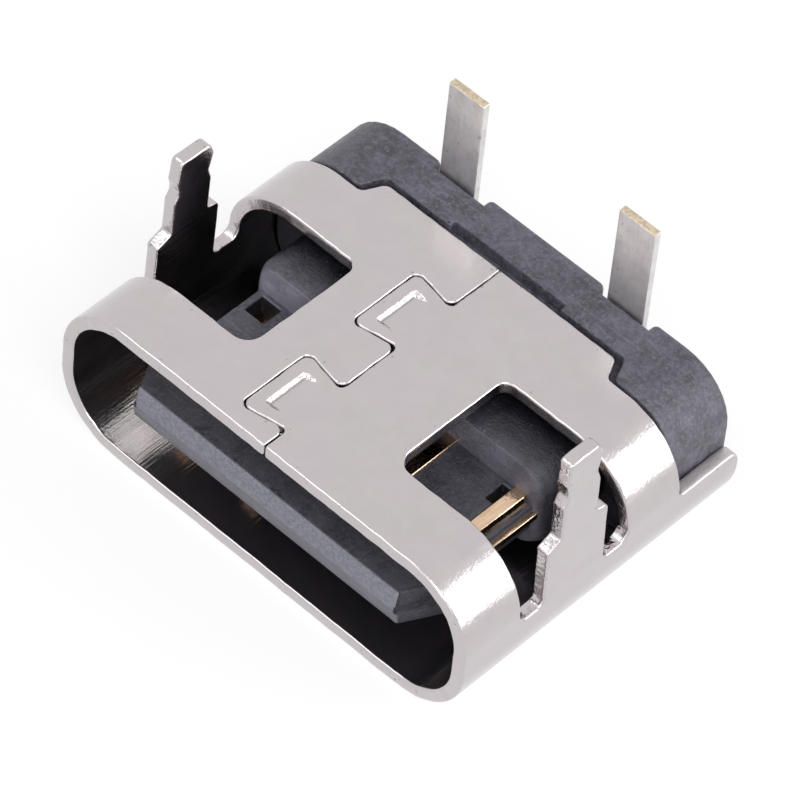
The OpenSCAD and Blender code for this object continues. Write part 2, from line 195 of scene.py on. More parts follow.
WINDOW_X, WINDOW_Y, WINDOW_L = 1.62, 1.28, 2.47
SLOT_Z = TALL - BEND - 0.14
SLOT_W, SLOT_R = 0.52, 0.12
TAB_W, TAB_REACH, TAB_LEAN, TAB_R = 1.38, 1.54, 0.1, 0.07
SHOULDER_DROP, SHOULDER_FRONT, SHOULDER_REAR, SHOULDER_CUT = 0.12, 0.3, 0.26, 0.07
WAIST, WAIST_DROP, BARB = 0.08, 0.72, 0.24
FLAT = WIDE / 2 - BEND
QUARTER = BEND * math.pi / 2
SIDE_Q = FLAT + QUARTER
WING_Q = SIDE_Q + TALL - BEND - WING_Z
ROUND = 2 * (FLAT + SIDE_Q) + 2 * QUARTER + 2 * (TALL - 2 * BEND)
TORN_Y = -0.68
SPACING, ARC_STEP = 0.035, 0.16
SHEAR, BELL_SPREAD = 0.003, 1.9
NICKEL, PALE_NICKEL = (0.535, 0.5, 0.505, 1), (0.56, 0.525, 0.53, 1)
# The second colour on the next line is the plating with painted shade, for the inside of the tube.
ROSE_NICKEL, SHADED_INNER_NICKEL = (0.565, 0.51, 0.54, 1), (0.45, 0.43, 0.42, 1)
PIT = (0.15, 0.14, 0.14, 1)
dice = np.random.default_rng(11)


def rounded(points):
    """Closed outline through points (a, b, radius): each corner is an arc tangent to both sides,
    with its centre on the bisector at radius / sin(half angle). A corner without a radius, or one
    that is nearly straight, stays a point."""
    flat = np.array([p[:2] for p in points], float)
    outline = []
    for i, (_, _, radius) in enumerate(points):
        back, on = flat[i - 1] - flat[i], flat[(i + 1) % len(flat)] - flat[i]
        back, on = back / np.linalg.norm(back), on / np.linalg.norm(on)
        half = math.acos(np.clip(back @ on, -1, 1)) / 2
        if radius <= 0 or half > 1.55:
            outline.append(flat[i:i + 1])
            continue
        middle = flat[i] + (back + on) / np.linalg.norm(back + on) * radius / math.sin(half)
        start = flat[i] + back * radius / math.tan(half) - middle
        sweep = (math.pi - 2 * half) * np.sign(on[0] * back[1] - on[1] * back[0])
        turn = np.linspace(0, sweep, max(3, int(abs(sweep) / ARC_STEP)))
        outline.append(middle + np.stack([start[0] * np.cos(turn) - start[1] * np.sin(turn),
                                          start[0] * np.sin(turn) + start[1] * np.cos(turn)], 1))
    return np.concatenate(outline)


def turned(loop, left):
    """The loop with what it encloses on its left, or on its right, told by the sign of its area."""
    a, b = loop.T
    area = (a * np.roll(b, -1) - np.roll(a, -1) * b).sum()
    return loop if (area > 0) == left else loop[::-1]


def divided(outline, step):
    """The closed outline with points added along its straight stretches, so that none is longer
    than step: each stretch is cut into equal parts."""
    ahead = np.roll(outline, -1, 0) - outline
    parts = np.maximum(1, np.ceil(np.linalg.norm(ahead, axis=1) / step)).astype(int)
    start = np.repeat(np.arange(len(outline)), parts)
    share = (np.arange(parts.sum()) - np.repeat(np.cumsum(parts) - parts, parts)) / parts[start]
    return outline[start] + ahead[start] * share[:, None]


def traced(points, step, left=True):
    """Closed loop through points (a, b, radius), rounded, turned one way and divided."""
    return divided(turned(rounded(points), left), step)


def inward(loop):
    """Unit directions to the left of the way round the closed loop, half way between the
    stretches that meet at each point."""
    ahead = np.roll(loop, -1, 0) - loop
    ahead = ahead / np.maximum(np.linalg.norm(ahead, axis=1), 1e-9)[:, None]
    ahead = ahead + np.roll(ahead, 1, 0)
    ahead = ahead / np.maximum(np.linalg.norm(ahead, axis=1), 1e-9)[:, None]
    return np.stack([-ahead[:, 1], ahead[:, 0]], 1)


def ragged(loop, size):
    """The loop with its points pushed in and out by about size: random numbers, smoothed by a
    bell curve over five neighbours on each side and divided by the spread of their sum."""
    push = dice.normal(size=len(loop))
    push = sum(np.roll(push, k) * math.exp(-k * k / 8) for k in range(-5, 6))
    return loop + inward(loop) * push[:, None] * size / BELL_SPREAD


def lattice(a, b):
    """All pairs of the values a and b, as rows."""
    return np.stack(np.meshgrid(a, b, indexing="ij"), -1).reshape(-1, 2)


def inside(spots, loops):
    """Whether each spot lies in the material: a ray to its right crosses the loops an odd number
    of times."""
    odd = np.zeros(len(spots), bool)
    for loop in loops:
        a, b = loop, np.roll(loop, -1, 0)
        rise = np.where(b[:, 1] == a[:, 1], 1, b[:, 1] - a[:, 1])
        for part in np.array_split(np.arange(len(spots)), max(1, len(spots) // 3000)):
            x, y = spots[part, 0, None], spots[part, 1, None]
            crosses = (a[:, 1] > y) != (b[:, 1] > y)
            at = a[:, 0] + (y - a[:, 1]) * (b[:, 0] - a[:, 0]) / rise
            odd[part] ^= (crosses & (at > x)).sum(1) % 2 == 1
    return odd


def filled(loops, spots):
    """Flat area inside the loops as triangles, by constrained Delaunay triangulation, with the
    spots inside it as extra corners. Gives corners and triangles, counter-clockwise."""
    flat = np.concatenate(loops + [spots[inside(spots, loops)]])
    starts = np.cumsum([0] + [len(loop) for loop in loops])
    ties = np.concatenate([np.stack([np.arange(a, b), np.roll(np.arange(a, b), -1)], 1)
                           for a, b in zip(starts[:-1], starts[1:])])
    made = delaunay_2d_cdt([Vector(p) for p in flat.tolist()], ties.tolist(), [], 0, 1e-7)
    flat, sheet = np.array([tuple(p) for p in made[0]]), np.array(made[2])
    sheet = sheet[inside(flat[sheet].mean(1), loops)]
    one, two = flat[sheet[:, 1]] - flat[sheet[:, 0]], flat[sheet[:, 2]] - flat[sheet[:, 0]]
    back = one[:, 0] * two[:, 1] < one[:, 1] * two[:, 0]
    sheet[back] = sheet[back][:, ::-1]
    return flat, sheet


def gap_to(outline, spots):
    """Distance from each spot to the nearest point of the outline."""
    return np.concatenate([np.sqrt(((part[:, None] - outline) ** 2).sum(2).min(1))
                           for part in np.array_split(spots, len(spots) // 1500 + 1)])


def sealed(points, faces):
    """Numbers of the corners that stay when those at one place are merged, and the faces between
    them, outward: all are turned round where the body's signed volume is negative."""
    _, first, same = np.unique(np.round(points, 4), axis=0, return_index=True, return_inverse=True)
    faces = np.where(faces < 0, -1, same.reshape(-1)[faces])
    fan = points[first][faces[:, :3]]
    if np.einsum("ij,ij->i", fan[:, 0], np.cross(fan[:, 1], fan[:, 2])).sum() < 0:
        faces = np.where(faces[:, 3:] < 0, faces[:, [2, 1, 0, 3]], faces[:, [3, 2, 1, 0]])
    return first, faces


def plate(rows, place, spots=np.zeros((0, 2))):
    """Closed body from rows (loops, depth), which go down its edge from the rim of its face to the
    rim of its back: the rims are filled, neighbouring rows are joined by four-sided faces, and
    place(points, depth) carries all of it to space. Gives corners, faces, how far down the edge
    each corner is (-1 on the face and -2 on the back), and how far from the outline it is."""
    points, faces, cut, near, used = [], [], [], [], 0
    outline = np.concatenate(rows[0][0])
    for back, (loops, depth) in enumerate((rows[0], rows[-1])):
        flat, sheet = filled(loops, spots)
        points.append(place(flat, np.full(len(flat), float(depth))))
        faces.append(np.pad((sheet[:, ::-1] if back else sheet) + used, ((0, 0), (0, 1)),
                            constant_values=-1))
        cut.append(np.full(len(flat), -1.0 - back))
        near.append(gap_to(outline, flat))
        used += len(flat)
    down = np.linspace(0, 1, len(rows))
    down[[0, -1]] = -1, -2
    for k in range(len(rows[0][0])):
        i = np.arange(len(rows[0][0][k]))
        j = np.roll(i, -1)
        for r, (loops, depth) in enumerate(rows):
            points.append(place(loops[k], np.full(len(i), float(depth))))
            cut.append(np.full(len(i), down[r]))
            near.append(np.zeros(len(i)))
            if r:
                faces.append(np.stack([used - len(i) + i, used + i, used + j, used - len(i) + j], 1))
            used += len(i)
    points, faces, cut, near = (np.concatenate(v) for v in (points, faces, cut, near))
    first, faces = sealed(points, faces)
    return points[first], faces, cut[first], near[first]


def edged(loops, edge):
    """Rows for plate() from its outlines and the profile of its edge, as (distance in, depth)."""
    return [([loop + inward(loop) * gap for loop in loops], depth) for gap, depth in edge]


def piece(name, bodies, finish, stands_for):
    """Smooth-shaded object that joins the bodies from plate(), in millimetres, with its finish,
    its material slot, and the node that it replaces."""
    starts = np.cumsum([0] + [len(b[0]) for b in bodies])
    points = np.concatenate([b[0] for b in bodies]) * MM
    faces = np.concatenate([np.where(b[1] < 0, -1, b[1] + s) for b, s in zip(bodies, starts)])
    faces = [f[:3] if f[3] < 0 else f for f in faces.tolist()]
    faces = [f for f in faces if len(set(f)) == len(f)]
    mesh = bpy.data.meshes.new(name)
    mesh.from_pydata(points.tolist(), [], faces)
    for key, at in (("cut", 2), ("near", 3)):
        values = np.concatenate([b[at] for b in bodies]).astype(np.float32)
        mesh.attributes.new(key, "FLOAT", "POINT").data.foreach_set("value", values)
    mesh.polygons.foreach_set("use_smooth", np.ones(len(mesh.polygons), bool))
    mesh.materials.append(finish)
    made = bpy.data.objects.new(name, mesh)
    bpy.context.scene.collection.objects.link(made)
    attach(made, "root")
    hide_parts(stands_for)


def rolled(q, depth, half, top, drop, bend):
    """Place on a rolled form at the running length q from the middle of its top, negative to the
    left: a flat, a quarter turn, a wall of height drop, a quarter turn and a flat, all of it depth
    inside the outer face. Gives x and z."""
    run, flat, quarter = np.abs(q), half - bend, bend * math.pi / 2
    first = np.clip(run - flat, 0, quarter) / bend
    wall = np.clip(run - flat - quarter, 0, drop)
    second = np.clip(run - flat - quarter - drop, 0, quarter) / bend
    rest = np.clip(run - flat - 2 * quarter - drop, 0, None)
    x = np.minimum(run, flat) + bend * (np.sin(first) - 1 + np.cos(second)) - rest
    z = top - bend * (1 - np.cos(first) + np.sin(second)) - wall
    return (np.where(q < 0, -1, 1) * (x - np.sin(first + second) * depth),
            z - np.cos(first + second) * depth)


def staked(x, y):
    """Depth of the punch marks at x, y: a wedge that is deepest at its left edge, whose left wall
    leans over STAKE_WALL and whose end walls lean over STAKE_END."""
    across = np.clip((x - STAKE_X) / STAKE_W, 0, 1)
    left = np.clip((x - STAKE_X) / STAKE_WALL, 0, 1)
    ends = sum(np.clip((STAKE_L / 2 - np.abs(y - middle)) / STAKE_END, 0, 1) for middle in LOCKS)
    return STAKE_DIP * (1 - across) * ends * left


def shell_place(points, depth):
    """The sheet in space. It follows the bends, except in the tabs inside the windows, which stand
    straight up from the side walls and lean in with height; the punch marks lower its outside."""
    q, y = points.T
    q = np.where(q < ROUND / 2, q, q - ROUND)
    x, z = rolled(q, depth, WIDE / 2, TALL, TALL - 2 * BEND, BEND)
    z = z - staked(q, y) * np.clip(1.2 - depth / SHEET, 0, 1)
    run, from_middle = np.abs(q), np.abs(y - WINDOW_Y - WINDOW_L / 2)
    tab = (from_middle < WINDOW_L / 2 - 0.1) & (run > WINDOW_X + 0.2) & (run < SIDE_Q)
    rise = SIDE_Q - run
    lean = WIDE / 2 - depth - TAB_LEAN * rise / (BEND + TAB_REACH)
    x = np.where(tab, np.where(q < 0, -lean, lean), x)
    return np.stack([x, y + MOUTH_Y, np.where(tab, TALL - BEND + rise, z)], 1)


def seam_end(side, tip_r, root_r):
    """One end of the sheet along the seam, from the mouth to the rear, half a kerf from the line
    of the two dovetails, with their corners' radii at the tips and at the roots."""
    off = side * KERF / 2
    path = []
    for y in LOCKS:
        path += [(off, y - LOCK_ROOT / 2 + off, root_r),
                 (off - LOCK_REACH, y - LOCK_TIP / 2 + off, tip_r),
                 (off - LOCK_REACH, y + LOCK_TIP / 2 - off, tip_r),
                 (off, y + LOCK_ROOT / 2 - off, root_r)]
    return path


def window():
    """Outline of the right window and of the barbed tab that stands in it, in the flat sheet."""
    tab_y, rear_y = WINDOW_Y + SLOT_W, WINDOW_Y + WINDOW_L
    front, rear = tab_y + SHOULDER_FRONT, tab_y + TAB_W - SHOULDER_REAR
    tip, shoulder = SIDE_Q - BEND - TAB_REACH, SIDE_Q - BEND + SHOULDER_DROP
    waist, slot = tip + WAIST_DROP, SIDE_Q + TALL - BEND - SLOT_Z
    return [(WINDOW_X, WINDOW_Y, 0.32), (WINDOW_X, rear_y, 0.2), (slot, rear_y, 0.2),
            (slot, tab_y + TAB_W, SLOT_R), (shoulder, tab_y + TAB_W, 0.13),
            (shoulder - SHOULDER_CUT, rear, 0.05), (waist + BARB / 2, rear, TAB_R),
            (waist - BARB / 2, rear - WAIST, TAB_R), (tip + BARB, rear, TAB_R),
            (tip, rear - WAIST, 0.15), (tip, front + WAIST, 0.09),
            (waist - BARB, front + 0.03, TAB_R), (waist - BARB / 4, front + WAIST, TAB_R),
            (waist + BARB / 4, front + WAIST, TAB_R), (waist + BARB, front, TAB_R),
            (shoulder, front, TAB_R), (shoulder + SHOULDER_DROP, tab_y, TAB_R),
            (slot, tab_y, SLOT_R), (slot, WINDOW_Y, 0.2)]


rear = [(KERF / 2, FACE_DEEP, 0.03), (FACE_MID / 2, FACE_DEEP, 0.14),
        (FACE_MID / 2 + 0.2, FLANK_DEEP, 0.14), (WING_Q, FLANK_DEEP, 0.13), (WING_Q, DEEP, 0.26)]
blank = ([(KERF / 2 + 0.01, 0, 0.05)] + seam_end(1, 0.145, 0.1) + rear
         + [(ROUND - q, y, r) for q, y, r in rear[::-1]]
         + [(ROUND + q, y, r) for q, y, r in seam_end(-1, 0.135, 0.17)[::-1]]
         + [(ROUND - KERF / 2 - 0.01, 0, 0.05)])
loops = [traced(blank, SPACING), traced(window(), SPACING, False),
         traced([(ROUND - q, y, r) for q, y, r in window()], SPACING, False)]
loops = [ragged(loop, SHEAR) for loop in loops]

# The cut edge: rolled over at the outer face, straight, and a little less round at the inner one.
edge = [(0.05, 0), (0.042, 0), (0.026, 0.004), (0.012, 0.013), (0.004, 0.026), (0, 0.045), (0, 0.1),
        (0, 0.16), (0, 0.21), (0.004, 0.232), (0.015, 0.246), (0.035, SHEET), (0.05, SHEET)]

# Corners inside the outline: close together across the bends and by the edges, none in the punch
# marks, which have their own, closest on their walls.
bends = [FLAT, SIDE_Q + TALL - 2 * BEND]
bends += [ROUND - q - QUARTER for q in bends]
columns = [np.linspace(q, q + QUARTER, 33) for q in bends] + [np.arange(-0.8, ROUND + 0.8, 0.2)]
spots = [lattice(np.concatenate(columns), np.arange(0.15, DEEP, 0.2))]
spots += [loop[::2] + inward(loop)[::2] * gap for loop in loops for gap in (0.085, 0.14)]
spots = np.concatenate(spots)
off_x = np.abs((spots[:, 0] - STAKE_X - STAKE_W / 2 + ROUND / 2) % ROUND - ROUND / 2)
off_y = np.min([np.abs(spots[:, 1] - middle) for middle in LOCKS], axis=0)
spots = [spots[(off_x > STAKE_W / 2 + 0.07) | (off_y > STAKE_L / 2 + 0.04)]]
mark_x = np.r_[np.arange(-1, 5) * 0.017, np.arange(0.09, STAKE_W + 0.05, 0.04)]
mark_y = np.r_[-STAKE_L / 2 + np.arange(-1, 6) * 0.018, np.arange(-8, 9) * 0.044,
               STAKE_L / 2 - np.arange(-1, 6) * 0.018]
spots += [lattice(lap + STAKE_X + mark_x, middle + mark_y)
          for middle in LOCKS for lap in (0, ROUND)]

body = plate(edged(loops, edge), shell_place, np.concatenate(spots))

# The walls of the punch marks are torn: their corners are marked by a distance of -1.
x, y, z = body[0].T
y = y - MOUTH_Y
by_left = (staked(x + 0.03, y) > 0.01) & (np.abs(x - STAKE_X) < 0.06)
by_ends = np.abs(staked(x, y + 0.03) - staked(x, y - 0.03)) > 0.02
body[3][(by_left | by_ends) & (z > TALL - 0.12)] = -1

nickel = bpy.data.materials.new("satin_nickel")
tree = emptied(nickel)


def times(tree, *factors):
    """Product of the factors."""
    made = factors[0]
    for factor in factors[1:]:
        made = worked(tree, "MULTIPLY", made, factor)
    return made


def between(tree, place, start, end, *ends):
    """Rises from 0 to 1, or over the ends given, as a place in metres goes from start to end,
    both in millimetres."""
    return spread(tree, place, start * MM, end * MM, *ends)


def mixed(tree, share, low_colour, high_colour):
    """Colour between two, by share."""
    made = node(tree, "MixRGB", {"Fac": share, "Color1": low_colour, "Color2": high_colour})
    return made.outputs["Color"]


def stretched(tree, scale, turn=(0, 0, 0)):
    """The object's own coordinates, turned and scaled, so that noise on them runs in streaks."""
    where = node(tree, "TexCoord").outputs["Object"]
    return node(tree, "Mapping", {"Vector": where, "Scale": scale, "Rotation": turn}).outputs[0]


def cloudy(tree, size, detail=2.0, vector=None, roughness=0.5):
    """Noise with lumps of the given size in millimetres, on the object's own coordinates."""
    vector = vector or node(tree, "TexCoord").outputs["Object"]
    made = node(tree, "TexNoise", {"Vector": vector, "Scale": 1 / (size * MM), "Detail": detail,
                                   "Roughness": roughness})
    return made.outputs["Fac"]


def held(tree, name):
    """The mesh's own attribute, such as how far down a cut edge a point is."""
    return node(tree, "Attribute", attribute_name=name).outputs["Fac"]


def bumped(tree, height, tallness, strength, under=None):
    """Surface direction with the bumps of a height pattern, tallness millimetres high, laid over
    the bumps that are there already."""
    links = {"Height": height, "Distance": tallness * MM, "Strength": strength}
    if under is not None:
        links["Normal"] = under
    return node(tree, "Bump", links).outputs[0]


def finished(tree, colour, roughness, bump, metallic=0.0):
    """Ends the material's tree with a surface of this colour, roughness and bump."""
    skin = node(tree, "BsdfPrincipled", {"Base Color": colour, "Metallic": metallic,
                                         "Roughness": roughness, "Normal": bump})
    node(tree, "OutputMaterial", {"Surface": skin.outputs[0]})


# Where on the sheet a spot lies: on a cut edge, inside, by an edge, on a punch mark's walls, on
# the tabs, at the bends, inside the tube, and on the wings' cut edges.
coords = node(tree, "TexCoord").outputs["Object"]
across, along, up = node(tree, "SeparateXYZ", {"Vector": coords}).outputs
from_middle = worked(tree, "ABSOLUTE", across)
cut = spread(tree, held(tree, "cut"), -0.2, 0.1)
inner = spread(tree, held(tree, "cut"), -1.2, -1.8)
edge_band = spread(tree, held(tree, "near"), 0.03, 0.12, 1.0, 0.0)
struck = spread(tree, held(tree, "near"), -0.1, -0.8)
from_tab = worked(tree, "ABSOLUTE", worked(tree, "SUBTRACT", along, TORN_Y * MM))
at_tabs = times(tree, between(tree, from_middle, 3.95, 4.15), between(tree, from_tab, 1.35, 1.25))
at_bends = between(tree, from_middle, 3.0, 3.5)
in_tube = times(tree, inner, between(tree, up, TALL + 0.05, TALL))
at_wings = times(tree, cut, between(tree, along, MOUTH_Y + FLANK_DEEP + 0.1,
                                    MOUTH_Y + FLANK_DEEP + 0.15))

# The plating's colour clouds from grey to rose, with dark pits by the edges, and its inner face is
# painted darker, as shade inside the tube.
mottle = spread(tree, cloudy(tree, 0.5, 4, roughness=0.65), 0.35, 0.65)
tint = spread(tree, cloudy(tree, 0.9, 2), 0.4, 0.6)
speck = spread(tree, cloudy(tree, 0.075, 1), 0.715, 0.75)
colour = mixed(tree, mottle, NICKEL, PALE_NICKEL)
colour = mixed(tree, times(tree, tint, 0.35), colour, ROSE_NICKEL)
colour = mixed(tree, times(tree, speck, times(tree, edge_band, 0.5)), colour, PIT)
# Painted shade: the sheet's inner face, inside the tube, is darker.
colour = mixed(tree, times(tree, inner, 0.5), colour, SHADED_INNER_NICKEL)

# Orange peel all over and more at the bends, draw lines inside, and roughness where the sheet tore.
peel = worked(tree, "ADD", times(tree, at_bends, 0.2), 0.045)
bump = bumped(tree, cloudy(tree, 0.05, 2), 0.014, peel)
draw_lines = cloudy(tree, 0.06, 3, stretched(tree, (1, 0.04, 1)))
bump = bumped(tree, draw_lines, 0.03, times(tree, in_tube, 0.2), bump)
torn = times(tree, cut, worked(tree, "ADD", times(tree, at_tabs, 0.16), 0.02))
torn = worked(tree, "ADD", torn, times(tree, struck, 0.5))
torn = worked(tree, "ADD", torn, times(tree, edge_band, 0.03))
bump = bumped(tree, cloudy(tree, 0.13, 2, roughness=0.6), 0.08, torn, bump)
dulled = worked(tree, "ADD", spread(tree, mottle, 0, 1, 0.17, 0.21), times(tree, at_wings, 0.25))
finished(tree, colour, dulled, bump, 1.0)
piece("stamped_shell", [body], nickel, "shell")

# ---- Housing ----------------------------------------------------------------------------------
# One black glass-filled moulding, shot round both terminals: the block behind the board face, the
# seat that fills the shell, the step, and the tongue with its head, ledges and pin holes.
FIT = 0.02
MID_Z = TALL / 2
CORE = WIDE / 2 - SHEET - FIT
CORE_BEND = BEND - SHEET
REAR_Y = 6.38
WALL_Y = 6.15
SKIN_Y, SKIN_FLANK_Y, SKIN_T, SKIN_DROP = 5.46, 5.0, 0.6, 1.1
NOTCH_X, NOTCH_Y = 1.21, 5.59
SLOTS, SLOT_HALF, SLOT_FLOOR = (-1.7, 1.89), 0.53, 1.275
SEAT_Y, SEAT_R, STEP_Y = 4.6, 1.02, 3.04
STEP_W, STEP_H, STEP_R, STEP_DRAFT = 6.4, 1.84, 0.45, 0.08
STEP_L, STEP_NOSE, STEP_ROUND = 1.62, 0.3, (0.3, 0.07)
TONGUE_Y, TONGUE_T, HEAD_Y = 0.1, 0.7, 1.35
TIP_X, HEAD_X, STEM_X = 2.9, 3.25, 3.0
TIP_SLOPE, TIP_RUN = 0.07, 0.5
HEAD_IN, GROOVE_IN, STEM_IN = 0.075, 0.15, 0.125
PIN_X, PIN_Y, PIN_SIDE, PIN_REACH = 2.65, 2.76, 0.42, 0.31
RIM = 0.012
COAL, SLATE = (0.052, 0.049, 0.065, 1), (0.118, 0.114, 0.148, 1)
GRAIN_GREY, SCUFF_GREY = (0.21, 0.205, 0.255, 1), (0.22, 0.215, 0.26, 1)
SCRATCH_GREY, GLASS = (0.26, 0.255, 0.3, 1), (0.5, 0.5, 0.52, 1)
# Painted light, for the faces inside the shell that look out of the mouth:
LIT_FRONT_GREY, LIT_FRONT_PALE = (0.24, 0.235, 0.29, 1), (0.34, 0.33, 0.4, 1)
NOSE_GREY, SHADE = (0.26, 0.26, 0.32, 1), (0.035, 0.035, 0.045, 1)
# Painted shade, near black: back along the step, and in the pin holes.
HOLLOW_SHADE, PIN_SHADE = (0.008, 0.008, 0.012, 1), (0.008, 0.008, 0.01, 1)


def mirrored(points):
    """Points (a, b, radius) and their mirror images across a = 0, as one round."""
    return points + [(-a, b, r) for a, b, r in points[::-1]]


def block_place(points, depth):
    """The block's skin, rolled over the top and both sides as the shell is, inside its sheet."""
    x, z = rolled(points[:, 0], depth, CORE, TALL, TALL - 2 * CORE_BEND, CORE_BEND)
    return np.stack([x, points[:, 1] + MOUTH_Y, z], 1)


def upright(y, sense):
    """Place function of a body drawn in x and z: its face stands at y, and its depth runs along
    sense."""
    return lambda points, depth: np.stack([points[:, 0], y + sense * depth + MOUTH_Y, points[:, 1]], 1)


def step_place(points, depth):
    """The step: drawn in x and z, its face leans back with the distance from the tongue."""
    x, z = points.T
    lean = np.clip((np.abs(z - MID_Z) - TONGUE_T / 2) / (STEP_H / 2 - TONGUE_T / 2), 0, 1)
    draft = STEP_DRAFT * lean * np.clip(1 - depth, 0, 1)
    return np.stack([x, STEP_Y + draft + depth + MOUTH_Y, z], 1)


def tongue_place(points, depth):
    """The tongue: drawn in x and y. Over TIP_RUN at its tip, its upper half slopes back by
    TIP_SLOPE, and its lowest quarter by half of that."""
    x, y = points.T
    upper = TIP_SLOPE * np.clip(1 - depth / (TONGUE_T / 2), 0, 1)
    lower = TIP_SLOPE / 2 * np.clip(depth / TONGUE_T * 4 - 3, 0, 1)
    slope = (upper + lower) * np.clip(1 - (y - TONGUE_Y) / TIP_RUN, 0, 1)
    return np.stack([x, y + slope + MOUTH_Y, MID_Z + TONGUE_T / 2 - depth], 1)


def soft_edge(radius, thickness, far=0.0, steps=5):
    """Profile of an edge: a quarter round of the radius at the face, and one of radius far at the
    back, each with a narrow flat rim."""
    turn = np.linspace(0, math.pi / 2, steps)
    face_side = [(radius * (1 - math.sin(t)), radius * (1 - math.cos(t))) for t in turn]
    middle = [(0, radius + (thickness - radius - far) * s) for s in (0.1, 0.9)]
    back_side = [(0, thickness)]
    if far:
        back_side = [(far * (1 - math.cos(t)), thickness - far * (1 - math.sin(t))) for t in turn]
    return [(radius + RIM, 0)] + face_side + middle + back_side + [(far + RIM, thickness)]


# The block: its skin over the top and sides, notched at the front, and its rear wall with a slot
# for each leg.
side_q = CORE - CORE_BEND + CORE_BEND * math.pi / 2 + SKIN_DROP
front = [(NOTCH_X, NOTCH_Y, 0.02), (NOTCH_X, SKIN_Y, 0.02), (2.6, SKIN_Y, 0.14),
         (2.8, SKIN_FLANK_Y, 0.14), (side_q, SKIN_FLANK_Y, 0.02), (side_q, WALL_Y + 0.03, 0)]
skin_loop = ragged(traced(mirrored(front), 0.05), SHEAR)
columns = [s * np.linspace(CORE - CORE_BEND, side_q - SKIN_DROP, 25) for s in (1, -1)]
columns = np.concatenate(columns + [np.arange(-side_q, side_q, 0.25)])
spots = lattice(columns, np.arange(5.1, WALL_Y, 0.2))
bodies = [plate(edged([skin_loop], soft_edge(0.035, SKIN_T)), block_place, spots)]

slots = [[(x + SLOT_HALF, TALL, 0.12), (x + SLOT_HALF, SLOT_FLOOR, 0.03),
          (x - SLOT_HALF, SLOT_FLOOR, 0.03), (x - SLOT_HALF, TALL, 0.12)] for x in SLOTS]
wall = ([(CORE, SHEET, CORE_BEND - 0.02), (CORE, TALL, CORE_BEND)] + slots[1] + slots[0]
        + [(-CORE, TALL, CORE_BEND), (-CORE, SHEET, CORE_BEND - 0.02)])
grid = lattice(np.arange(-4, 4.1, 0.25), np.arange(0.4, 3, 0.25))
wall_edge = soft_edge(0.09, REAR_Y - WALL_Y, 0.02)
bodies.append(plate(edged([traced(wall, 0.05)], wall_edge), upright(REAR_Y, -1), grid))

seat = [(CORE - 0.01, SHEET + 0.005, SEAT_R), (CORE - 0.01, TALL - SHEET - 0.02, SEAT_R)]
seat_edge = soft_edge(0.05, WALL_Y - SEAT_Y - 0.01)
bodies.append(plate(edged([traced(mirrored(seat), 0.1)], seat_edge), upright(SEAT_Y, 1), grid))

# The step's front is rounded as a quarter of an ellipse, wider across than in height.
step = [(STEP_W / 2, MID_Z - STEP_H / 2, STEP_R), (STEP_W / 2, MID_Z + STEP_H / 2, STEP_R)]
step_loop = traced(mirrored(step), 0.06)
step_edge = [(1 - math.sin(t), STEP_NOSE * (1 - math.cos(t))) for t in np.linspace(0, math.pi / 2, 7)]
step_edge = [(1.04, 0)] + step_edge + [(0, 0.7), (0, STEP_L), (0.01, STEP_L)]
rows = [([step_loop + inward(step_loop) * gap * STEP_ROUND], depth) for gap, depth in step_edge]
bodies.append(plate(rows, step_place, grid))

# Down the tongue's edge, as (depth, head in, stem in, rim): the upper rim, with the head narrow
# and a ledge along the stem's right side; a groove in the head's sides, level with the strips; and
# a ledge along the stem's left side, with the lower rim.
upper_rim = [(0, 0.045), (0, 0.035), (0.004, 0.02), (0.014, 0.007), (0.035, 0), (0.125, 0)]
upper_ledge = [(0.138, 0.12), (0.14, 0.01), (0.15, 0), (0.29, 0)]
groove = [(0.306, 0.08), (0.308, 0.145), (0.314, GROOVE_IN), (0.442, GROOVE_IN), (0.448, 0.14),
          (0.45, 0.01), (0.46, 0), (0.55, 0)]
lower_ledge = [(0.56, 0.01), (0.562, 0.12), (0.575, STEM_IN), (0.67, STEM_IN)]
lower_rim = [(0.69, 0.01), (TONGUE_T, 0.03), (TONGUE_T, 0.04)]
profile = ([(depth, HEAD_IN, STEM_IN, rim) for depth, rim in upper_rim]
           + [(depth, HEAD_IN, stem_in, 0) for depth, stem_in in upper_ledge]
           + [(depth, head_in, 0, 0) for depth, head_in in groove]
           + [(depth, 0, stem_in, 0) for depth, stem_in in lower_ledge]
           + [(depth, 0, STEM_IN, rim) for depth, rim in lower_rim])
tongue = [(TIP_X, TONGUE_Y, 0.08), (HEAD_X, TONGUE_Y + 0.7, 0.08), (HEAD_X, HEAD_Y, 0.04),
          (STEM_X, HEAD_Y + 0.25, 0.04), (STEM_X, SEAT_Y + 0.1, 0)]
tongue_loop = traced(mirrored(tongue), 0.05)
pin = [(PIN_X + a * PIN_SIDE / 2, PIN_Y + b * PIN_SIDE / 2, 0.02)
       for a, b in ((1, -1), (1, 1), (-1, 1), (-1, -1))]
pin_loops = [traced([(s * a, b, r) for a, b, r in pin], 0.05, False) for s in (1, -1)]
stem = np.clip((tongue_loop[:, 1] - HEAD_Y + 0.05) / 0.3, 0, 1)
rows = []
for depth, head_in, stem_in, rim in profile:
    ledge = (tongue_loop[:, 0] > 0) == (depth < TONGUE_T / 2)
    side = head_in * (1 - stem) + stem_in * stem * ledge
    rows.append(([tongue_loop + inward(tongue_loop) * (rim + side[:, None] * (1, 0))]
                 + [loop + inward(loop) * rim * 0.45 for loop in pin_loops], depth))
flat_grid = lattice(np.arange(-3, 3.1, 0.25), np.arange(0.25, 4.6, 0.25))
bodies.append(plate(rows, tongue_place, flat_grid))

moulding = bpy.data.materials.new("glass_filled_black")
tree = emptied(moulding)
coords = node(tree, "TexCoord").outputs
across, along, up = node(tree, "SeparateXYZ", {"Vector": coords["Object"]}).outputs
facing = node(tree, "SeparateXYZ", {"Vector": coords["Normal"]}).outputs["Y"]
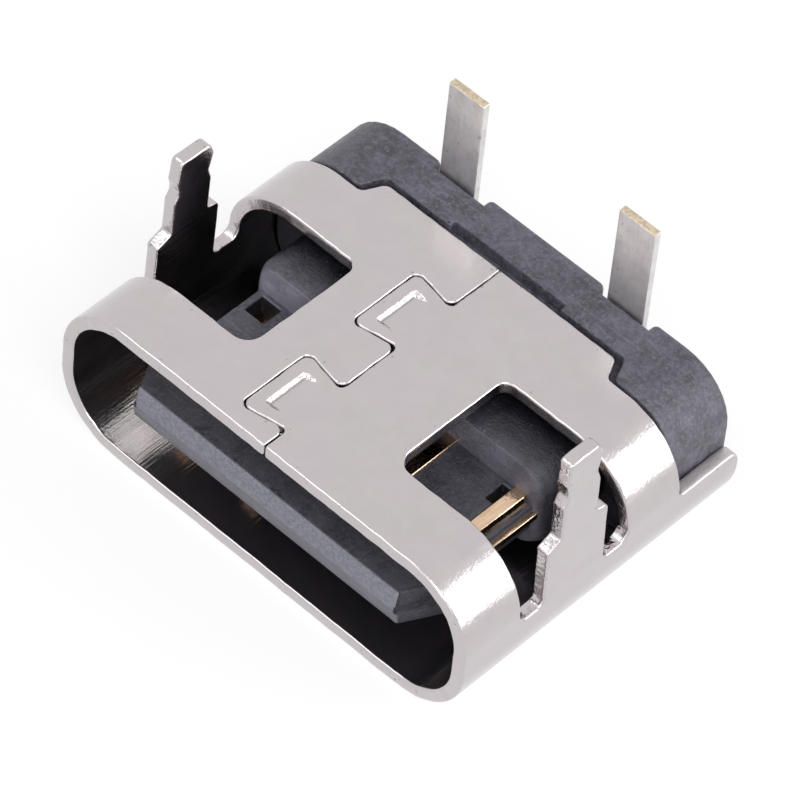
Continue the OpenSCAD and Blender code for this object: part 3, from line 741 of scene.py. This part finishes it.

# Where on the moulding a spot lies: on a face that looks out of the mouth, inside the shell, back
# along the step, where shade is painted, on the left side, which is painted as if lit, on the
# tongue's nose and its upper half, and in a pin hole.
forward = spread(tree, facing, -0.55, -0.85)
sunken = between(tree, along, MOUTH_Y + 4.9, MOUTH_Y + 4.7)
deep = between(tree, along, MOUTH_Y + STEP_Y + 0.08, MOUTH_Y + STEP_Y + 0.75, 0, 0.92)
# Painted light: the left side, where the step's front catches the light, is paler and less shaded.
lit_left = times(tree, between(tree, across, 0.5, -1.5),
               between(tree, along, MOUTH_Y + 1.2, MOUTH_Y + 1.8))
nose = times(tree, forward, between(tree, along, MOUTH_Y + 0.3, MOUTH_Y + 0.27))
upper = times(tree, nose, between(tree, up, MID_Z - 0.06, MID_Z - 0.02))
folded = node(tree, "CombineXYZ", {"X": worked(tree, "ABSOLUTE", across), "Y": along}).outputs[0]
pin_middle = (PIN_X * MM, (PIN_Y + MOUTH_Y) * MM, 0)
from_pin = node(tree, "VectorMath", {0: folded, 1: pin_middle}, operation="DISTANCE")
from_mid_z = worked(tree, "ABSOLUTE", worked(tree, "SUBTRACT", up, MID_Z * MM))
in_pin = times(tree, between(tree, from_pin.outputs["Value"], PIN_REACH + 0.01, PIN_REACH),
               between(tree, from_mid_z, TONGUE_T / 2 - 0.02, TONGUE_T / 2 - 0.05))

# Clouds and grain in the moulding, scuffs and scratches, and the glass fibres that show, with
# painted shade and painted light laid over them.
cloud = spread(tree, cloudy(tree, 0.4, 6, roughness=0.8), 0.41, 0.61)
scuff_way = stretched(tree, (0.3, 2, 1), (0, 0, 0.9))
scuff = spread(tree, cloudy(tree, 0.2, 4, scuff_way, 0.75), 0.58, 0.7)
scratch_way = stretched(tree, (0.06, 1.6, 1), (0.2, 0.1, -0.5))
scratch = spread(tree, cloudy(tree, 0.1, 1, scratch_way), 0.7, 0.74)
fibre = spread(tree, cloudy(tree, 0.04, 1), 0.75, 0.8)
grain = cloudy(tree, 0.07, 3, roughness=0.7)
worn = spread(tree, cloudy(tree, 0.06, 3, roughness=0.8), 0.42, 0.58, 0.3, 1)
colour = mixed(tree, cloud, COAL, SLATE)
colour = mixed(tree, spread(tree, grain, 0.48, 0.66, 0, 0.45), colour, GRAIN_GREY)
colour = mixed(tree, times(tree, scuff, 0.4), colour, SCUFF_GREY)
colour = mixed(tree, times(tree, scratch, 0.25), colour, SCRATCH_GREY)
# Painted shade inside the shell, with less of it on the left side.
shaded = times(tree, sunken, spread(tree, lit_left, 0, 1, 0.6, 0.1))
colour = mixed(tree, shaded, colour, SHADE)
# Painted light: the faces inside the shell that look out of the mouth are paler, most on the left
# side.
lit_fronts = times(tree, times(tree, forward, sunken), spread(tree, lit_left, 0, 1, 0.4, 0.85))
colour = mixed(tree, lit_fronts, colour, mixed(tree, cloud, LIT_FRONT_GREY, LIT_FRONT_PALE))
colour = mixed(tree, times(tree, upper, worn), colour, NOSE_GREY)
# Painted shade, near black, back along the step inside the shell.
colour = mixed(tree, times(tree, sunken, deep), colour, HOLLOW_SHADE)
colour = mixed(tree, times(tree, fibre, 0.6), colour, GLASS)
# Painted shade, near black, on the walls of the pin holes.
colour = mixed(tree, times(tree, in_pin, 0.9), colour, PIN_SHADE)
bump = bumped(tree, grain, 0.03, worked(tree, "ADD", times(tree, upper, 0.75), 0.25))
bump = bumped(tree, cloud, 0.03, 0.4, bump)
finished(tree, colour, spread(tree, cloud, 0, 1, 0.3, 0.46), bump)
piece("moulded_core", bodies, moulding, "housing")

# ---- Terminals --------------------------------------------------------------------------------
# Two stamped brass strips, moulded into the housing. Each ends in a leg, tinned all over but for
# its sheared tip; their contacts on the tongue are flashed with gold.
STRIP = 0.15
RISE = TONGUE_T / 2 + 0.04 - STRIP / 2
ROOT_Y = STEP_Y + RISE + STRIP / 2
CONTACT_Y, CONTACT_W = 1.15, 0.25
POWER_X, GROUND_X, BARE_X = 1.25, 2.75, 3.09
BAR_Y, BAR_BACK_Y = 0.72, 1.02
LEG_X, LEG_W = (-1.79, 1.89), 0.76
TIP_Z = TALL + 2.02
PLAIN_TIN, DULL_TIN = (0.75, 0.73, 0.72, 1), (0.58, 0.56, 0.56, 1)
BRIGHT_TIN, NICK_GREY = (0.82, 0.81, 0.82, 1), (0.2, 0.19, 0.18, 1)
GOLD, PALE_GOLD = (0.62, 0.43, 0.28, 1), (0.76, 0.56, 0.4, 1)
BARE_BRASS, PALE_BRASS = (0.5, 0.42, 0.32, 1), (0.68, 0.57, 0.43, 1)


def sideways(x, width, over=False):
    """Place function of a body drawn in y and z and width wide, with its middle at x: its depth
    runs across. Over turns it half way round the tongue's own axis."""
    turn = -1 if over else 1
    return lambda points, depth: np.stack([turn * (x + width / 2 - depth), points[:, 0] + MOUTH_Y,
                                           MID_Z + turn * (points[:, 1] - MID_Z)], 1)


def lengthways(y, over=False):
    """Place function of a body drawn in x and z that starts at y."""
    turn = -1 if over else 1
    return lambda points, depth: np.stack([turn * points[:, 0], y + depth + MOUTH_Y,
                                           MID_Z + turn * (points[:, 1] - MID_Z)], 1)


def flatways(points, depth):
    """A body drawn in x and y, whose face is the strip's upper one."""
    return np.stack([points[:, 0], points[:, 1] + MOUTH_Y, MID_Z + STRIP / 2 - depth], 1)


def leg(x):
    """Leg at x: its side view is an L with rounded bends."""
    under, over = MID_Z - STRIP / 2, MID_Z + STRIP / 2
    root, back = WALL_Y - 0.05, REAR_Y - STRIP
    loop = [(root, under, 0), (REAR_Y, under, 0.21), (REAR_Y, TIP_Z, 0.02), (back, TIP_Z, 0.02),
            (back, over, 0.06), (root, over, 0)]
    rows = edged([traced(loop, 0.08)], soft_edge(0.018, LEG_W, 0.018, 4))
    return plate(rows, sideways(x, LEG_W))


def finger(x, over):
    """Contact at x: it rises from the strip to the tongue's face and dips at its nose."""
    line = [(ROOT_Y, MID_Z), (ROOT_Y - RISE, MID_Z + RISE), (CONTACT_Y + 0.12, MID_Z + RISE),
            (CONTACT_Y, MID_Z + RISE - 0.08)]
    loop = [(y, z + STRIP / 2, 0.03) for y, z in line]
    loop += [(y, z - STRIP / 2, 0.02) for y, z in line[::-1]]
    rows = edged([traced(loop, 0.08)], soft_edge(0.025, CONTACT_W, 0.025, 4))
    return plate(rows, sideways(x, CONTACT_W, over))


def arm(over):
    """Ground arm: its raised inner edge is the contact, and its outer edge lies bare."""
    h = STRIP / 2
    inner, outer = GROUND_X - CONTACT_W / 2, GROUND_X + CONTACT_W / 2
    loop = [(inner, RISE + h, 0.025), (outer, RISE + h, 0.03), (outer + h, h, 0.03),
            (BARE_X, h, 0.02), (BARE_X, -h, 0.02), (outer, -h, 0.02), (outer - h, RISE - h, 0.02),
            (inner, RISE - h, 0.02)]
    loop = traced([(a, b + MID_Z, r) for a, b, r in loop], 0.05)
    rows = edged([loop], soft_edge(0.02, ROOT_Y - CONTACT_Y, 0.02, 4))
    return plate(rows, lengthways(CONTACT_Y, over))


def bar():
    """Front bar of the ground strip, in the tongue's head, from one bare edge to the other."""
    inner = GROUND_X - CONTACT_W / 2
    loop = [(BARE_X, BAR_Y, 0.15), (BARE_X, CONTACT_Y, 0), (inner, CONTACT_Y, 0),
            (inner, BAR_BACK_Y, 0.07)]
    rows = edged([traced(mirrored(loop), 0.08)], soft_edge(0.02, STRIP, 0.02, 4))
    return plate(rows, flatways)


brass = bpy.data.materials.new("tinned_brass")
tree = emptied(brass)
coords = node(tree, "TexCoord").outputs["Object"]
_, along, up = node(tree, "SeparateXYZ", {"Vector": coords}).outputs
wavy = worked(tree, "ADD", up, times(tree, cloudy(tree, 0.08, 2), 0.03 * MM))
sheared = between(tree, wavy, TIP_Z + 0.002, TIP_Z + 0.008)
tinned = between(tree, along, SEAT_Y + MOUTH_Y, WALL_Y + MOUTH_Y)
grime = spread(tree, cloudy(tree, 0.5, 5, roughness=0.7), 0.4, 0.7)
streak = spread(tree, cloudy(tree, 0.35, 3, stretched(tree, (6, 1, 0.8))), 0.35, 0.65)
nick = spread(tree, cloudy(tree, 0.09, 2), 0.69, 0.73)
tin = mixed(tree, grime, PLAIN_TIN, DULL_TIN)
tin = mixed(tree, times(tree, streak, 0.35), tin, BRIGHT_TIN)
tin = mixed(tree, times(tree, nick, 0.45), tin, NICK_GREY)
colour = mixed(tree, tinned, mixed(tree, streak, GOLD, PALE_GOLD), tin)
bare = mixed(tree, spread(tree, cloudy(tree, 0.06, 3), 0.4, 0.6), BARE_BRASS, PALE_BRASS)
colour = mixed(tree, sheared, colour, bare)
bump = bumped(tree, cloudy(tree, 0.08, 3), 0.02, 0.2)
bump = bumped(tree, grime, 0.03, 0.15, bump)
finished(tree, colour, spread(tree, tinned, 0, 1, 0.15, 0.48), bump, 1.0)
power = [leg(LEG_X[0]), finger(POWER_X, False), finger(POWER_X, True)]
ground = [leg(LEG_X[1]), arm(False), arm(True), bar()]
piece("power_strip", power, brass, "power_terminal")
piece("ground_strip", ground, brass, "ground_terminal")
